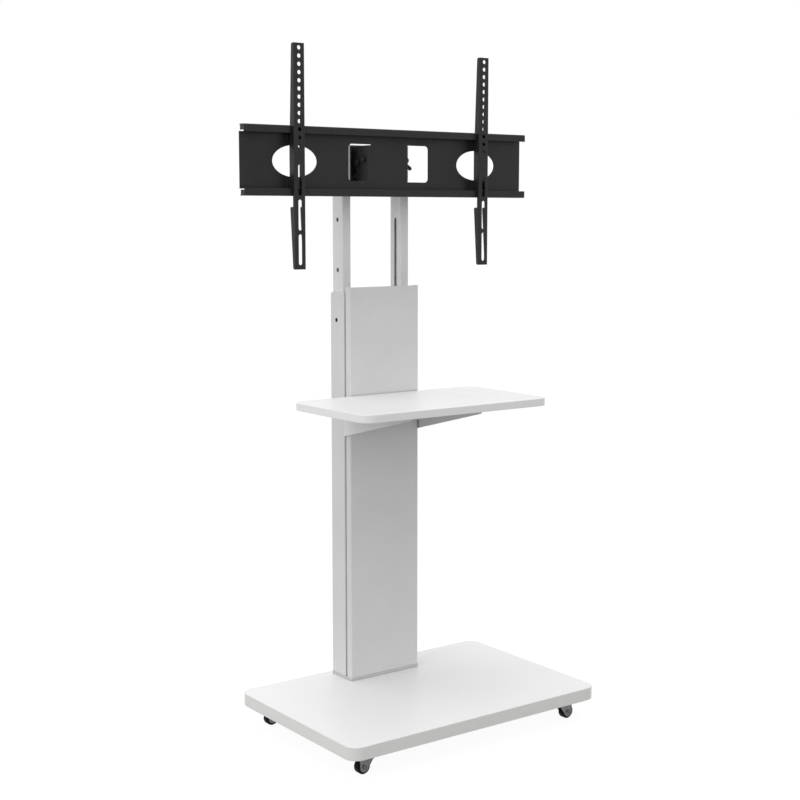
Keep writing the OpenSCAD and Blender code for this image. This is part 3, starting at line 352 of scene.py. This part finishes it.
def make(name, bm, body, slot, *replaced):
    """Turn a bmesh in millimetres into a finished piece on its body."""
    bmesh.ops.scale(bm, vec=(MM, MM, MM), verts=bm.verts)
    bmesh.ops.recalc_face_normals(bm, faces=bm.faces)
    for face in bm.faces:
        face.smooth = True
    for edge in bm.edges:
        shared = len(edge.link_faces) == 2
        edge.smooth = shared and edge.calc_face_angle() < math.radians(CREASE_DEG)
    mesh = bpy.data.meshes.new(name)
    bm.to_mesh(mesh)
    bm.free()
    mesh.materials.append(MATERIALS[slot])
    piece = bpy.data.objects.new(name, mesh)
    bpy.context.scene.collection.objects.link(piece)
    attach(piece, body)
    if replaced:
        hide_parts(*replaced)


def skin(bm, rows, closed):
    """Faces between rows of the same number of points, with end caps unless the rows close."""
    steps = len(rows[0])
    for low, high in list(zip(rows, rows[1:])) + ([(rows[-1], rows[0])] if closed else []):
        for k in range(steps):
            n = (k + 1) % steps
            bm.faces.new((low[k], low[n], high[n], high[k]))
    if not closed:
        bm.faces.new(rows[0])
        bm.faces.new(rows[-1])


def radial(bm, place, rings, closed=False):
    """Skin rings about an axis; each ring gives radius and height for an angle."""
    rows = []
    for ring in rings:
        row = []
        for k in range(HEX_STEPS):
            angle = 2 * math.pi * k / HEX_STEPS
            r, h = ring(angle)
            point = place @ Vector((r * math.cos(angle), r * math.sin(angle), h))
            row.append(bm.verts.new(point))
        rows.append(row)
    skin(bm, rows, closed)


def circle(r, h):
    return lambda angle: (r, h)


def flats(corner_r):
    """A hexagon's radius to its flats."""
    return corner_r * math.cos(math.pi / 6)


def hexagon(corner_r, h, sink):
    """A hexagon's ring whose corners fall away from h by a 30 degree chamfer times sink."""
    flat_r = flats(corner_r)

    def ring(angle):
        r = flat_r / math.cos(angle % (math.pi / 3) - math.pi / 6)
        return r, h - sink * (r - CHAMFER_CIRCLE * flat_r) * math.tan(math.pi / 6)
    return ring


def thread(r, start, end):
    """Rings of a rolled thread."""
    def at(h):
        def ring(angle):
            turn = (h / THREAD_PITCH - angle / (2 * math.pi)) % 1.0
            return r - THREAD_DEPTH * (1.0 - abs(2.0 * turn - 1.0)), h
        return ring
    count = int(abs(end - start) / THREAD_PITCH * RINGS_PER_TURN) + 1
    return [at(start + (end - start) * i / count) for i in range(count + 1)]


def hex_bolt(bm, place, tip, seat, corner_r):
    """A bolt along Z: threaded tip, shank, washer face, chamfered head with a dished top."""
    flat_r, top = flats(corner_r), seat + BOLT_HEAD_H
    rings = [circle(SHANK_R * share, tip + h) for share, h in TIP_CHAMFER]
    rings += thread(SHANK_R, tip + THREAD_START, tip + THREAD_END)
    rings += [circle(SHANK_R, tip + THREAD_RUNOUT), circle(SHANK_R, seat)]
    washer_r, washer_top = flat_r * WASHER_FACE, seat + WASHER_H
    rings += [circle(washer_r, seat), circle(washer_r, washer_top)]
    rings += [hexagon(corner_r, washer_top, UNDERSIDE_SINK), hexagon(corner_r, top, 1)]
    rings += [circle(flat_r * CHAMFER_CIRCLE, top)]
    rings += [circle(flat_r * share, top + h) for share, h in HEAD_DISH]
    radial(bm, place, rings)


def hex_nut(bm, place, low, corner_r):
    """A nut chamfered on both faces, with a countersunk bore."""
    flat_r, high = flats(corner_r), low + NUT_H
    mouth_r = NUT_BORE_R + NUT_SINK
    rings = [circle(NUT_BORE_R, low + NUT_SINK), circle(mouth_r, low)]
    rings += [circle(flat_r * CHAMFER_CIRCLE, low), hexagon(corner_r, low, -1)]
    rings += [hexagon(corner_r, high, 1), circle(flat_r * CHAMFER_CIRCLE, high)]
    rings += [circle(mouth_r, high), circle(NUT_BORE_R, high - NUT_SINK)]
    radial(bm, place, rings, closed=True)


def axis_frame(place, axis, first):
    """A frame at a place, with Z along the axis and X along the first direction."""
    z = Vector(axis)
    x = Vector(first)
    y = z.cross(x)
    rows = [(x[i], y[i], z[i], place[i]) for i in range(3)]
    return Matrix(rows + [(0, 0, 0, 1)])


def bead(bm, points, normal, radius, closed=False):
    """A rippled weld bead swept along points in a plane with this normal."""
    points = [Vector(p) for p in points]
    normal = Vector(normal)
    count, travelled, rows = len(points), 0.0, []
    for i, point in enumerate(points):
        before = points[i - 1] if closed or i else point
        after = points[(i + 1) % count] if closed or i < count - 1 else point
        across = (after - before).normalized().cross(normal)
        travelled += (point - points[i - 1]).length if i else 0.0
        taper = 1.0 if closed else min(1.0, END_SIZE + END_GROWTH * min(i, count - 1 - i))
        ripple = 1.0 + RIPPLE * math.cos(2 * math.pi * travelled / RIPPLE_PITCH)
        size = radius * taper * ripple
        row = []
        for k in range(BEAD_SIDES):
            angle = 2 * math.pi * k / BEAD_SIDES
            spoke = normal * math.cos(angle) + across * math.sin(angle)
            row.append(bm.verts.new(point + spoke * size))
        rows.append(row)
    skin(bm, rows, closed)


def line(start, end):
    a, b = Vector(start), Vector(end)
    count = max(2, int((b - a).length / BEAD_STEP))
    return [a.lerp(b, i / count) for i in range(count + 1)]


def rounded_loop(x, y0, y1, z0, z1, r):
    """Points round a rounded rectangle at one X."""
    points = []
    centres = ((y1 - r, z0 + r, -90), (y1 - r, z1 - r, 0), (y0 + r, z1 - r, 90), (y0 + r, z0 + r, 180))
    for cy, cz, turn in centres:
        corner = []
        for k in range(CORNER_POINTS):
            angle = math.radians(turn + 90 / (CORNER_POINTS - 1) * k)
            corner.append((x, cy + r * math.cos(angle), cz + r * math.sin(angle)))
        if points:
            points += line(points[-1], corner[0])[1:-1]
        points += corner
    return points + line(points[-1], points[0])[1:-1]


def fasteners():
    """Hexagon bolts and nuts with chamfers and threads, in the places of the plain ones."""
    bolts, nuts = bmesh.new(), bmesh.new()
    for side in (-1, 1):
        for z in MAST_BOLT_LEVELS:
            place = axis_frame((0, MAST_BOLT_Y, z), (side, 0, 0), (0, 0, 1))
            hex_bolt(bolts, place, MAST_BOLT_TIP, MAST_BOLT_SEAT, MAST_HEX_R)
            hex_nut(nuts, place, NUT_SEAT, MAST_HEX_R)
    make("mast_bolts_threaded", bolts, "mast", "zinc", "mast_bolts")
    make("mast_nuts_chamfered", nuts, "mast", "zinc", "mast_nuts")
    foot = bmesh.new()
    for x in FOOT_BOLT_XS:
        for y in FOOT_BOLT_YS:
            place = axis_frame((x, y, 0), (0, 0, -1), (1, 0, 0))
            hex_bolt(foot, place, FOOT_BOLT_TIP, FOOT_BOLT_SEAT, FOOT_HEX_R)
    make("foot_bolts_threaded", foot, "stand", "zinc", "foot_bolts")


def welds():
    """Weld beads where cross bars, tubes and foot plate meet, and round the tilt bracket's back."""
    white = bmesh.new()
    for side in (-1, 1):
        x = side * BAR_END_X
        for low in BAR_LEVELS:
            loop = rounded_loop(x, *BAR_YS, low, low + BAR_H, BAR_CORNER_R)
            bead(white, loop, (1, 0, 0), BEAD_R, closed=True)
        bead(white, line(*((x, y, FOOT_TOP) for y in TUBE_INNER_YS)), (1, 0, 0), BEAD_R)
        back = line(*((side * x, TUBE_BACK_Y, FOOT_TOP) for x in TUBE_BACK_XS))
        bead(white, back, (0, 1, 0), TUBE_BACK_BEAD_R)
    make("column_welds", white, "stand", "white_steel")
    black = bmesh.new()
    bracket_x, bracket_y = BRACKET_SIDE
    for side in (-1, 1):
        upright = line(*((side * bracket_x, bracket_y, z) for z in BRACKET_SIDE_LEVELS))
        bead(black, upright, (1, 0, 0), UPRIGHT_BEAD_R)
        for z in BRACKET_LIP_LEVELS:
            lip = line(*((side * x, CROSSBAR_FRONT_Y, z) for x in BRACKET_LIP_XS))
            bead(black, lip, (0, 1, 0), BEAD_R)
    make("bracket_welds", black, "mast", "black_steel")


fasteners()
welds()


# --------------------------------------------------------------------- stage

WORLD_STRENGTH = 0.82
FLOOR_HALF = 30.0
FLOOR_LIT, FLOOR_SEEN = 0.33, 0.90      # the floor's colour for light bounces and for the camera
FLOOR_GLOW, FLOOR_GLOW_SHARE = 1.05, 0.90


def seen_directly(tree):
    """1 for camera, glossy and transmission rays, and 0 for the rays that light the object."""
    path = add_node(tree, "ShaderNodeLightPath")
    last = path.outputs["Is Camera Ray"]
    for ray in ("Is Glossy Ray", "Is Transmission Ray"):
        either = add_node(tree, "ShaderNodeMath", {0: last, 1: path.outputs[ray]}, operation="MAXIMUM")
        last = either.outputs[0]
    return last


def studio():
    """White surroundings for the camera and for reflections, plain level light for the object."""
    world = bpy.data.worlds.new("studio")
    bpy.context.scene.world = world
    world.use_nodes = True
    tree = world.node_tree
    tree.nodes.clear()
    lit = add_node(tree, "ShaderNodeBackground", {"Color": grey(1.0), "Strength": WORLD_STRENGTH})
    seen = add_node(tree, "ShaderNodeBackground", {"Color": grey(1.0), "Strength": 1.0})
    shares = {0: seen_directly(tree), 1: lit.outputs[0], 2: seen.outputs[0]}
    mix = add_node(tree, "ShaderNodeMixShader", shares)
    add_node(tree, "ShaderNodeOutputWorld", {"Surface": mix.outputs[0]})


def floor():
    """A pale floor that shows white to the camera and keeps a faint contact shadow."""
    mesh = bpy.data.meshes.new("floor")
    h = FLOOR_HALF
    mesh.from_pydata([(-h, -h, 0), (h, -h, 0), (h, h, 0), (-h, h, 0)], [], [(0, 1, 2, 3)])
    plane = bpy.data.objects.new("floor", mesh)
    bpy.context.scene.collection.objects.link(plane)
    s = Shader("floor_pale")
    s.tree.nodes.remove(s.surface)
    out = next(n for n in s.tree.nodes if n.type == "OUTPUT_MATERIAL")
    seen = seen_directly(s.tree)
    tone = s.blend(seen, grey(FLOOR_LIT), grey(FLOOR_SEEN))
    matt = s.add("ShaderNodeBsdfDiffuse", {"Color": tone})
    glow = s.add("ShaderNodeEmission", {"Color": grey(1.0), "Strength": FLOOR_GLOW})
    share = s.sums("MULTIPLY", seen, FLOOR_GLOW_SHARE)
    mix = s.add("ShaderNodeMixShader", {0: share, 1: matt.outputs[0], 2: glow.outputs[0]})
    s.tree.links.new(mix.outputs[0], out.inputs["Surface"])
    mesh.materials.append(s.material)


def softbox(name, place, aim, side, watts):
    light = bpy.data.lights.new(name, "AREA")
    light.shape = "RECTANGLE"
    light.size, light.size_y, light.energy = side, side, watts
    lamp = bpy.data.objects.new(name, light)
    bpy.context.scene.collection.objects.link(lamp)
    lamp.location = place
    lamp.rotation_euler = (Vector(aim) - Vector(place)).to_track_quat("-Z", "Y").to_euler()


def camera():
    data = bpy.data.cameras.new("camera")
    data.lens = CAMERA_LENS_MM
    data.sensor_width = CAMERA_SENSOR_MM
    data.clip_end = CAMERA_REACH
    view = bpy.data.objects.new("camera", data)
    bpy.context.scene.collection.objects.link(view)
    view.location = CAMERA_PLACE
    view.rotation_euler = (math.radians(CAMERA_PITCH_DEG), 0.0, math.radians(CAMERA_TURN_DEG))
    bpy.context.scene.camera = view


studio()
floor()
camera()
softbox("top_box", place=(-0.4, 0.2, 4.5), aim=(0.0, 0.0, 0.6), side=3.2, watts=52.0)
softbox("left_box", place=(-3.4, -0.7, 1.9), aim=(0.0, 0.0, 0.7), side=2.2, watts=27.0)
bpy.context.scene.view_settings.view_transform = "Standard"
